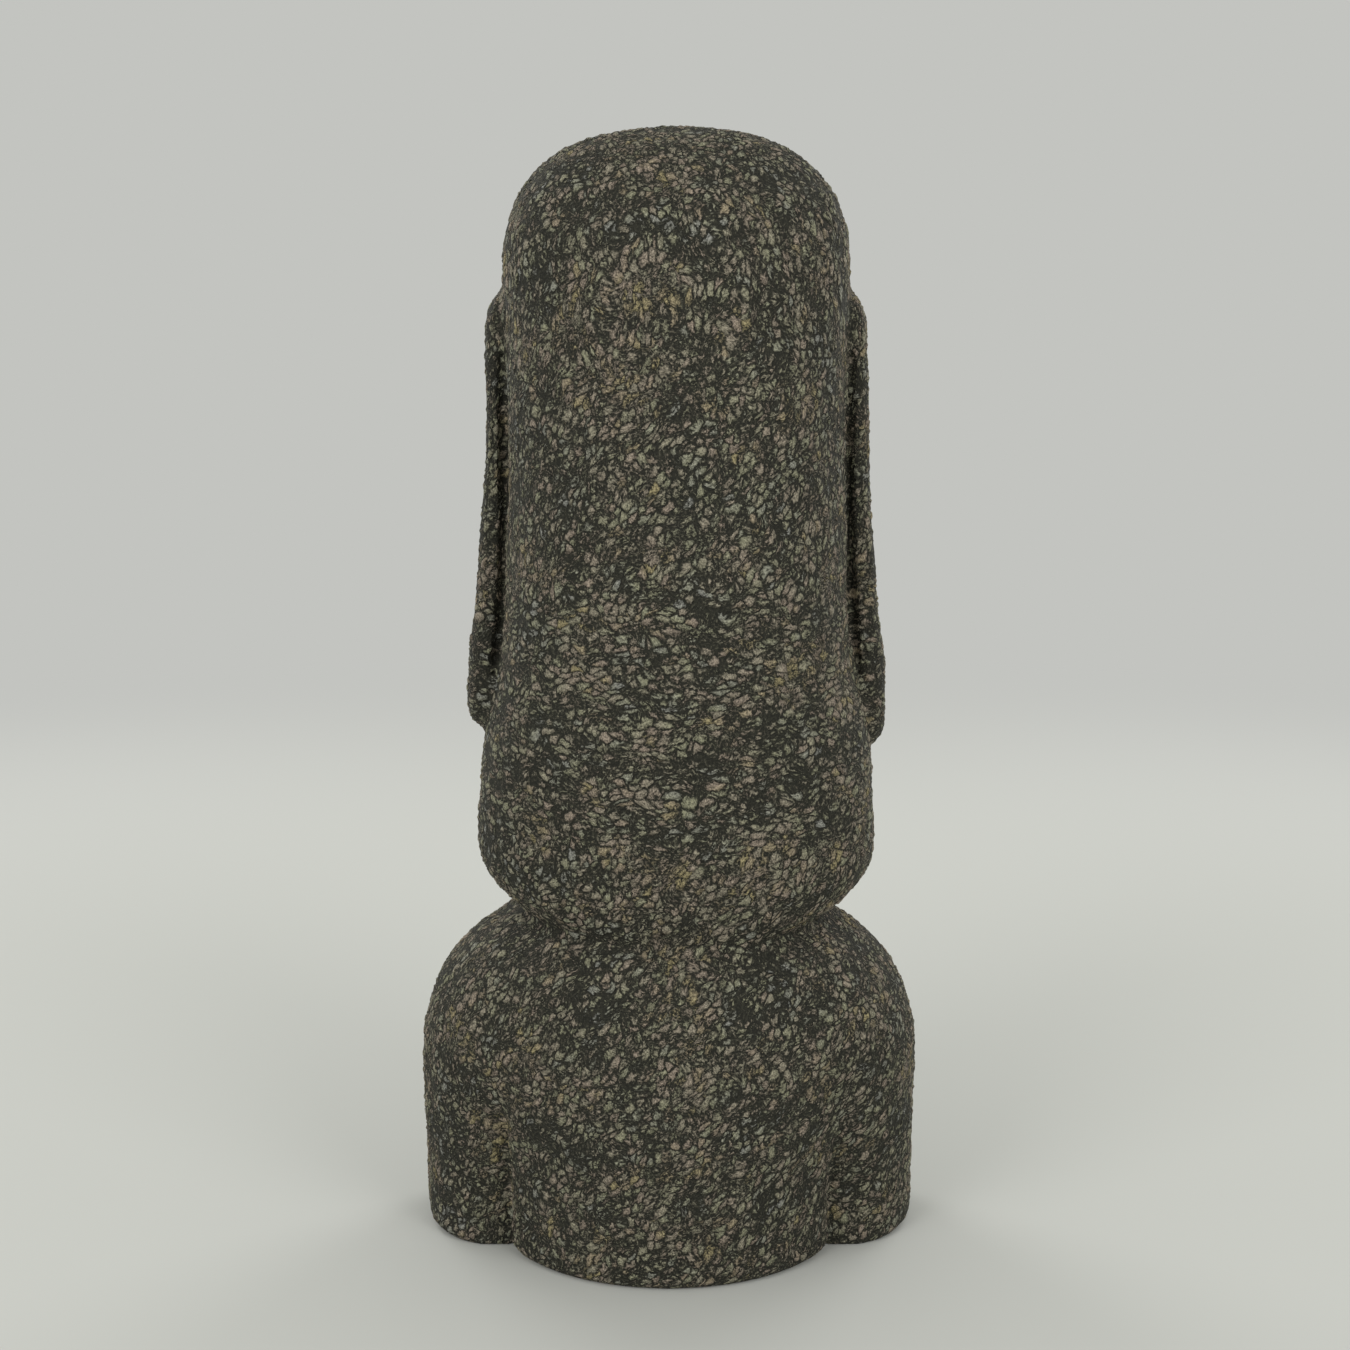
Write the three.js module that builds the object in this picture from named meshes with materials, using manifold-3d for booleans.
// A moai garden statue: one cast-stone piece, a tall head on cut-off shoulders, standing on a flat underside.
// Millimetres, +Z up. The face looks towards -Y, the back of the head towards +Y, and X runs across
// the shoulders. The origin is the middle of the underside.
//
// Each form is a closed skin stretched over rings. The rings' sizes run smoothly through a few named
// heights, the face is raised on the front of the head's rings, and the forms are joined into one solid.
import * as THREE from 'three';
import { mergeVertices } from 'three/addons/utils/BufferGeometryUtils.js';
import Module from 'manifold-3d';

const wasm = await Module();
wasm.setup();

const { clamp, lerp, smoothstep } = THREE.MathUtils;

// ---------------------------------------------------------------- driving dimensions
// Depths are measured from a datum plane across the statue, through the ears and the arms.

const HEIGHT = 450; // underside to the top of the crown
const FOOT_EDGE = 3; // soft edge round the underside
const HEAD_SHIFT = -3; // the head sits this far to one side of the shoulders

// heights, from the underside up
const SHOULDER_Z = 70; // widest level of the arms
const NECK_Z = 141; // crease between the shoulders and the head
const JAW_Z = 168; // widest level of the jaw
const CHIN_Z = 188;
const LOBE_Z = 213; // lower end of the ear lobes, one a little lower than the other
const LOW_LOBE_Z = 206;
const MOUTH_Z = 235;
const NOSE_Z = 273; // level of the nostrils
const EYE_Z = 350;
const BROW_Z = 373;
const EAR_TOP_Z = 388;
const CROWN_Z = 395; // where the sides start to round over

// half-widths
const ARM_OUT = 103; // over the arms
const TORSO_HALF = 74; // the back between the arms
const JAW_HALF = 81;
const HEAD_HALF = 67; // the head between its ears
const LOBE_OUT = 85; // over the ear lobes
const NOSE_HALF = 22; // over the nostrils
const MOUTH_HALF = 32;

// depths from the datum plane
const HEAD_BACK = 72;
const TORSO_BACK = 75;
const CHEST_FRONT = 70;
const FOOT_BACK = 67; // the underside draws in a little, behind and in front
const FOOT_FRONT = 65;
const CHEEK_FRONT = 59;
const NOSE_FRONT = 91;

// ---------------------------------------------------------------- small tools

// A smooth curve through [position, value] pairs.
function through(...stations) {
  const positions = stations.map((station) => station[0]);
  const values = stations.map((station) => station[1]);
  const curve = new THREE.CubicInterpolant(positions, values, 1);
  return (position) => curve.evaluate(position)[0];
}

// How much width is left at a share of the way out along a rounded end: 1 at its start, 0 at its tip.
function roundOver(share, power = 2) {
  return (1 - clamp(share, 0, 1) ** power) ** (1 / power);
}

// A smooth hill: 1 in its middle, 0 at its reach and beyond.
function hill(distance, reach) {
  return smoothstep(1 - Math.abs(distance) / reach, 0, 1);
}

// Evenly spaced numbers from first to last, both included.
function steps(first, last, count) {
  return Array.from({ length: count + 1 }, (_, i) => first + ((last - first) * i) / count);
}

// A closed skin over rings of equal count, with a fan of triangles across each end.
function skin(rings) {
  const sides = rings[0].length;
  const positions = rings.flat().flatMap((point) => point.toArray());
  const index = [];
  for (let r = 0; r < rings.length - 1; r++) {
    for (let i = 0; i < sides; i++) {
      const [a, b] = [r * sides + i, r * sides + ((i + 1) % sides)];
      const [c, d] = [a + sides, b + sides];
      // the diagonals of one half mirror those of the other
      index.push(...(i < sides / 2 ? [a, b, d, a, d, c] : [a, b, c, b, d, c]));
    }
  }
  const closeEnd = (ring, first, facesDown) => {
    const centre = ring.reduce((sum, point) => sum.add(point), new THREE.Vector3()).divideScalar(sides);
    const middle = positions.length / 3;
    positions.push(...centre.toArray());
    for (let i = 0; i < sides; i++) {
      const [a, b] = [first + i, first + ((i + 1) % sides)];
      index.push(...(facesDown ? [b, a, middle] : [a, b, middle]));
    }
  };
  closeEnd(rings[0], 0, true);
  closeEnd(rings.at(-1), (rings.length - 1) * sides, false);
  const geometry = new THREE.BufferGeometry();
  geometry.setAttribute('position', new THREE.Float32BufferAttribute(positions, 3));
  geometry.setIndex(index);
  return geometry;
}

// A skin as a solid that can be joined and cut.
function solid(rings) {
  const merged = mergeVertices(skin(rings), 1e-4);
  return new wasm.Manifold(new wasm.Mesh({
    numProp: 3,
    vertProperties: new Float32Array(merged.attributes.position.array),
    triVerts: new Uint32Array(merged.index.array),
  }));
}

// ---------------------------------------------------------------- head

const headHalf = through(
  [JAW_Z, JAW_HALF],
  [205, 79],
  [245, 71],
  [300, HEAD_HALF + 0.5],
  [345, HEAD_HALF],
  [CROWN_Z, HEAD_HALF + 1.3],
);
const headBack = through(
  [120, 44],
  [NECK_Z - 3, 58],
  [JAW_Z, 67.5],
  [205, 71],
  [270, HEAD_BACK],
  [345, 70],
  [CROWN_Z, 62],
);
const headFront = through(
  [120, 30],
  [NECK_Z, 47],
  [155, 60],
  [172, 68],
  [CHIN_Z, 70],
  [215, 68],
  [260, 62],
  [310, CHEEK_FRONT],
  [EYE_Z, CHEEK_FRONT - 2],
  [CROWN_Z, CHEEK_FRONT - 2],
);
const noseHalf = through(
  [200, 20],
  [250, 17],
  [262, 20],
  [NOSE_Z, NOSE_HALF],
  [286, 18.5],
  [305, 14],
  [335, 10.5],
  [BROW_Z, 12],
  [CROWN_Z, 20],
);
const noseFront = through(
  [256, 60],
  [262, 76],
  [NOSE_Z - 4, NOSE_FRONT - 1],
  [NOSE_Z + 4, NOSE_FRONT],
  [290, 85],
  [315, 76],
  [340, 70],
  [BROW_Z - 12, 68],
  [BROW_Z, 69],
);

// How far the carved face stands out from the plain head, at a distance from its middle line.
function faceRelief(x, z) {
  const aside = Math.abs(x);
  const underBrow = smoothstep(z, BROW_Z - 11, BROW_Z - 7);
  const brow = 10 * underBrow * (1 - smoothstep(z, BROW_Z, BROW_Z + 20)) * (1 - smoothstep(aside, 50, 66));
  const socket = -15 * (1 - underBrow) * smoothstep(z, EYE_Z - 26, EYE_Z - 4)
    * smoothstep(aside, noseHalf(z) - 1, noseHalf(z) + 9) * (1 - smoothstep(aside, 42, 60));
  const lid = 8 * hill(z - EYE_Z + 5, 13) * hill(aside - 33, 20);
  const cheek = 3.5 * hill(aside - 42, 22) * hill(z - 312, 42);
  const muzzle = 7 * hill(z - MOUTH_Z, 32) * (1 - smoothstep(aside, 6, 48));
  const upperLip = 6 * hill(z - MOUTH_Z - 6, 8) * (1 - smoothstep(aside, 16, MOUTH_HALF + 2));
  const lowerLip = 5.5 * hill(z - MOUTH_Z + 6, 8) * (1 - smoothstep(aside, 12, MOUTH_HALF));
  const chinTop = 1 - smoothstep(z, CHIN_Z + 10, CHIN_Z + 29);
  const chin = 12 * chinTop * smoothstep(z, CHIN_Z - 34, CHIN_Z - 10) * (1 - smoothstep(aside, 8, 52));
  const plain = brow + socket + lid + cheek + muzzle + upperLip + lowerLip + chin;
  if (z < 256 || z > BROW_Z + 12) return plain;
  const across = roundOver(aside / (noseHalf(z) + 2.5), 2.8);
  const stand = (noseFront(Math.min(z, BROW_Z)) - headFront(z)) * (1 - smoothstep(z, BROW_Z, BROW_Z + 12));
  return Math.max(plain, stand * across);
}

// The sides of the front's columns: along the nose first, then by shares of the head's half-width.
function faceColumns(z, half) {
  const nose = noseHalf(clamp(z, 200, CROWN_Z));
  return [0, 0.45 * nose, 0.8 * nose, nose + 0.5, nose + 2.8, nose + 8]
    .concat([0.5, 0.62, 0.73, 0.83, 0.91].map((share) => share * half));
}

// One ring of the head. Its columns run from the middle of the face round one side to the middle of the
// back, and the other side mirrors them.
function headRing(z, half, back, front, narrow, shallow) {
  const [frontPower, backPower] = [2.7, 2.3];
  const points = faceColumns(z, half).map((x) => {
    const depth = front * roundOver(x / half, frontPower);
    // the brow and the mouth turn down a little at their ends
    const browDroop = 4 * (x / half) ** 2 * hill(z - BROW_Z, 45);
    const mouthDroop = 3 * smoothstep(x / MOUTH_HALF, 0, 1.3) * hill(z - MOUTH_Z, 40);
    const droop = browDroop + mouthDroop;
    return new THREE.Vector3(x * narrow, -(depth + faceRelief(x, z)) * shallow, z - droop);
  });
  for (const share of [-0.38, -0.13]) {
    points.push(new THREE.Vector3(half * roundOver(-share, frontPower) * narrow, front * share * shallow, z));
  }
  for (const turn of steps(0.08, 1, 9)) {
    const angle = (Math.PI / 2) * turn;
    const x = half * Math.max(0, Math.cos(angle)) ** (2 / backPower);
    points.push(new THREE.Vector3(x * narrow, back * Math.sin(angle) ** (2 / backPower) * shallow, z));
  }
  const otherSide = points.slice(1, -1).reverse().map(({ x, y, z: level }) => new THREE.Vector3(-x, y, level));
  return [...points, ...otherSide];
}

function head() {
  const jawRound = 42; // height of the rounding under the jaw
  const crownRound = HEIGHT - CROWN_Z;
  const levels = [
    ...[0.94, 0.8, 0.68, 0.58, 0.44, 0.3, 0.15].map((share) => JAW_Z - jawRound * share),
    ...steps(JAW_Z, CHIN_Z + 12, 4),
    ...steps(CHIN_Z + 18, MOUTH_Z - 13, 3),
    ...steps(MOUTH_Z - 9, MOUTH_Z + 12, 7),
    ...steps(MOUTH_Z + 16, 256, 1),
    ...[259, 262, 265.5, NOSE_Z - 3, NOSE_Z + 2, 281, 289, 299, 311, 322],
    ...steps(332, BROW_Z - 14, 4),
    ...[-11, -9, -7, -3, 3, 9, 15].map((above) => BROW_Z + above),
    ...[0, 0.28, 0.5, 0.68, 0.82, 0.92, 0.98, 0.999].map((share) => CROWN_Z + crownRound * share),
  ];
  return solid(levels.map((z) => {
    const side = clamp(z, JAW_Z, CROWN_Z);
    const level = Math.min(z, CROWN_Z);
    const jaw = roundOver((JAW_Z - z) / jawRound);
    const rise = (z - CROWN_Z) / crownRound;
    const [narrow, shallow] = [roundOver(rise, 2.4), roundOver(rise, 1.8)];
    return headRing(z, headHalf(side) * jaw, headBack(level), headFront(level), narrow, shallow);
  }));
}

// ---------------------------------------------------------------- ears

// How far out an ear stands, from its lobe to its top.
const earOut = (lobe) => through(
  [lobe - 2, LOBE_OUT - 7],
  [lobe + 3, LOBE_OUT - 1.5],
  [lobe + 13, LOBE_OUT + 0.3],
  [265, LOBE_OUT - 3.5],
  [305, LOBE_OUT - 7.5],
  [345, 76],
  [370, 75.5],
  [380, 74],
  [EAR_TOP_Z, 69.5],
);
const earHalf = through([LOW_LOBE_Z, 20], [250, 18], [310, 17], [EAR_TOP_Z, 19]);

// A level oval of an upright bar, such as an ear.
function barRing(x, y, z, halfX, halfY, sides, power) {
  return Array.from({ length: sides }, (_, i) => {
    const angle = (2 * Math.PI * i) / sides;
    const [c, s] = [Math.cos(angle), Math.sin(angle)];
    return new THREE.Vector3(
      x + halfX * Math.sign(c) * Math.abs(c) ** (2 / power),
      y + halfY * Math.sign(s) * Math.abs(s) ** (2 / power),
      z,
    );
  });
}

// Levels from bottom to top, closer together in the rounding at either end.
function barLevels(bottom, top, rounding, count) {
  const end = [0.02, 0.15, 0.4, 0.7];
  return [
    ...end.map((share) => bottom + rounding * share),
    ...steps(bottom + rounding, top - rounding, count),
    ...end.map((share) => top - rounding * share).reverse(),
  ];
}

const nearEnd = (z, bottom, top, rounding) => clamp(1 - Math.min(z - bottom, top - z) / rounding, 0, 1);

// A long plate on the side of the head, thicker towards its lobe, with a sunk panel inside its rim.
function ear(lobe) {
  const out = earOut(lobe);
  const root = 60; // inner side, well inside the head
  const middle = -4;
  const ends = 14;
  const plate = barLevels(lobe, EAR_TOP_Z, ends, 8).map((z) => {
    const thick = (out(z) - root) / 2;
    const narrow = 0.3 + 0.7 * roundOver(nearEnd(z, lobe, EAR_TOP_Z, ends));
    return barRing(root + thick, middle, z, thick, earHalf(z) * narrow, 18, 3.2);
  });
  const [low, high, panelEnds] = [258, 376, 9];
  const panel = barLevels(low, high, panelEnds, 6).map((z) => {
    const narrow = 0.2 + 0.8 * roundOver(nearEnd(z, low, high, panelEnds));
    return barRing(out(z) + 2.5, middle - 1, z, 6, (earHalf(z) - 8) * narrow, 12, 2.6);
  });
  return solid(plate).subtract(solid(panel));
}

// The gap between the back of an ear and the head.
function earGroove() {
  const middle = 300;
  const reach = 66;
  return solid(steps(-0.97, 0.97, 8).map((share) => {
    const z = middle + reach * share;
    const fade = roundOver(Math.abs(share), 3);
    return barRing(headHalf(z) + 0.5, 13, z, 0.5 + 1.3 * fade, 1 + 5 * fade, 8, 2);
  }));
}

// ---------------------------------------------------------------- shoulders

const shoulderHalf = through([0, ARM_OUT - 1], [SHOULDER_Z, ARM_OUT + 0.5], [86, 102.5], [101, 99], [114, 93.5],
  [127, 82], [135, 71.5], [NECK_Z, 61], [152, 40]);
const shoulderBack = through([0, FOOT_BACK], [40, 72], [SHOULDER_Z, TORSO_BACK], [105, 73.5], [125, 67],
  [NECK_Z - 3, 56], [152, 38]);
const shoulderFront = through([0, FOOT_FRONT], [40, 68], [SHOULDER_Z, CHEST_FRONT], [105, 67], [125, 57], [NECK_Z, 42],
  [152, 28]);

// The outline of the underside: a rounded arm on either side of a rounded back and chest.
const ARM = { x: 74, y: -10, half: ARM_OUT - 74, depth: 37 };
const trunkDepth = (x, depth) => depth * roundOver(x / TORSO_HALF);
const armDepth = (x) => ARM.depth * roundOver(Math.abs(x - ARM.x) / ARM.half);

// How far aside the arm's outline crosses the trunk's, behind (side 1) or in front (side -1).
function seamAside(depth, side) {
  let [inTrunk, inArm] = [ARM.x - ARM.half, TORSO_HALF];
  for (let i = 0; i < 30; i++) {
    const x = (inTrunk + inArm) / 2;
    if (armDepth(x) + side * ARM.y > trunkDepth(x, depth)) inArm = x;
    else inTrunk = x;
  }
  return inArm;
}

const SEAM = { behind: seamAside(FOOT_BACK, 1), before: seamAside(FOOT_FRONT, -1), half: 3 };

// Half the underside's outline, from the middle of the chest round one arm to the middle of the back.
function footOutline() {
  const { behind, before, half } = SEAM;
  const chest = [...steps(0, before - 10, 5), before - half, before]
    .map((x) => new THREE.Vector2(x, -trunkDepth(x, FOOT_FRONT)));
  const outArm = (x, side) => new THREE.Vector2(x, ARM.y + side * armDepth(x));
  const armTurns = steps(-0.5 * Math.PI, 0.42 * Math.PI, 10);
  const arm = armTurns.map((turn) => new THREE.Vector2(
    ARM.x + ARM.half * Math.cos(turn),
    ARM.y + ARM.depth * Math.sin(turn),
  ));
  const back = [behind, behind - half, ...steps(behind - 8, 0, 8)]
    .map((x) => new THREE.Vector2(x, trunkDepth(x, FOOT_BACK)));
  return [...chest, outArm(before + half, -1), ...arm, outArm(behind + half, 1), ...back];
}

// One ring of the shoulders. High up it is a plain oval; further down the arms part from the trunk.
function shoulderRing(outline, z, inset) {
  const [half, back, front] = [shoulderHalf(z), shoulderBack(z), shoulderFront(z)];
  const folded = 1 - smoothstep(z, 5, 108);
  const place = (foot, side) => {
    const behind = foot.y > ARM.y;
    const share = clamp(foot.x / ARM_OUT, 0, 1);
    const plain = new THREE.Vector2(half * share, (behind ? back : -front) * roundOver(share));
    const middle = (foot.y / foot.length()) ** 2; // 1 on the middle line, 0 out at the arm
    const swell = behind ? back / FOOT_BACK : front / FOOT_FRONT;
    const folds = new THREE.Vector2(foot.x, foot.y * lerp(1, swell, middle));
    // one arm's seam is deeper and runs higher than the other's
    const [depth, top] = side > 0 ? [5, 78] : [3.5, 62];
    const fromSeam = Math.abs(foot.x - (behind ? SEAM.behind : SEAM.before));
    const groove = depth * hill(fromSeam, 1.4 * SEAM.half) * (1 - smoothstep(z, top - 30, top));
    const point = plain.lerp(folds, folded);
    point.setLength(point.length() - inset - groove);
    return new THREE.Vector3(side * point.x, point.y, z);
  };
  const one = outline.map((foot) => place(foot, 1));
  const other = outline.slice(1, -1).reverse().map((foot) => place(foot, -1));
  return [...one, ...other];
}

function shoulders() {
  const outline = footOutline();
  const levels = [14, 30, 44, 56, 67, 78, 89, 99, 108, 116, 123, 130, 136, 144, 152];
  const foot = shoulderRing(outline, 0, FOOT_EDGE);
  const edge = shoulderRing(outline, 0, 0).map(({ x, y }) => new THREE.Vector3(x, y, FOOT_EDGE));
  return solid([foot, edge, ...levels.map((z) => shoulderRing(outline, z, 0))]);
}

// ---------------------------------------------------------------- the statue

function statue() {
  const ears = ear(LOBE_Z).add(ear(LOW_LOBE_Z).mirror([1, 0, 0]));
  const grooves = earGroove().add(earGroove().mirror([1, 0, 0]));
  const carvedHead = head().add(ears).subtract(grooves);
  const body = shoulders().add(carvedHead.translate([HEAD_SHIFT, 0, 0]));
  const { min, max } = body.boundingBox();
  return body.translate([-(min[0] + max[0]) / 2, -(min[1] + max[1]) / 2, -min[2]]);
}

function mesh(name, part, material) {
  const { vertProperties, triVerts } = part.getMesh();
  const geometry = new THREE.BufferGeometry();
  geometry.setAttribute('position', new THREE.Float32BufferAttribute(vertProperties, 3));
  geometry.setIndex(new THREE.Uint32BufferAttribute(triVerts, 1));
  geometry.computeVertexNormals();
  const node = new THREE.Mesh(geometry, material);
  node.name = name;
  return node;
}

const castStone = new THREE.MeshStandardMaterial({ color: 0x4a483e, roughness: 0.9, metalness: 0 });

const object = new THREE.Group();
object.add(mesh('moai_statue', statue(), castStone));

export default object;
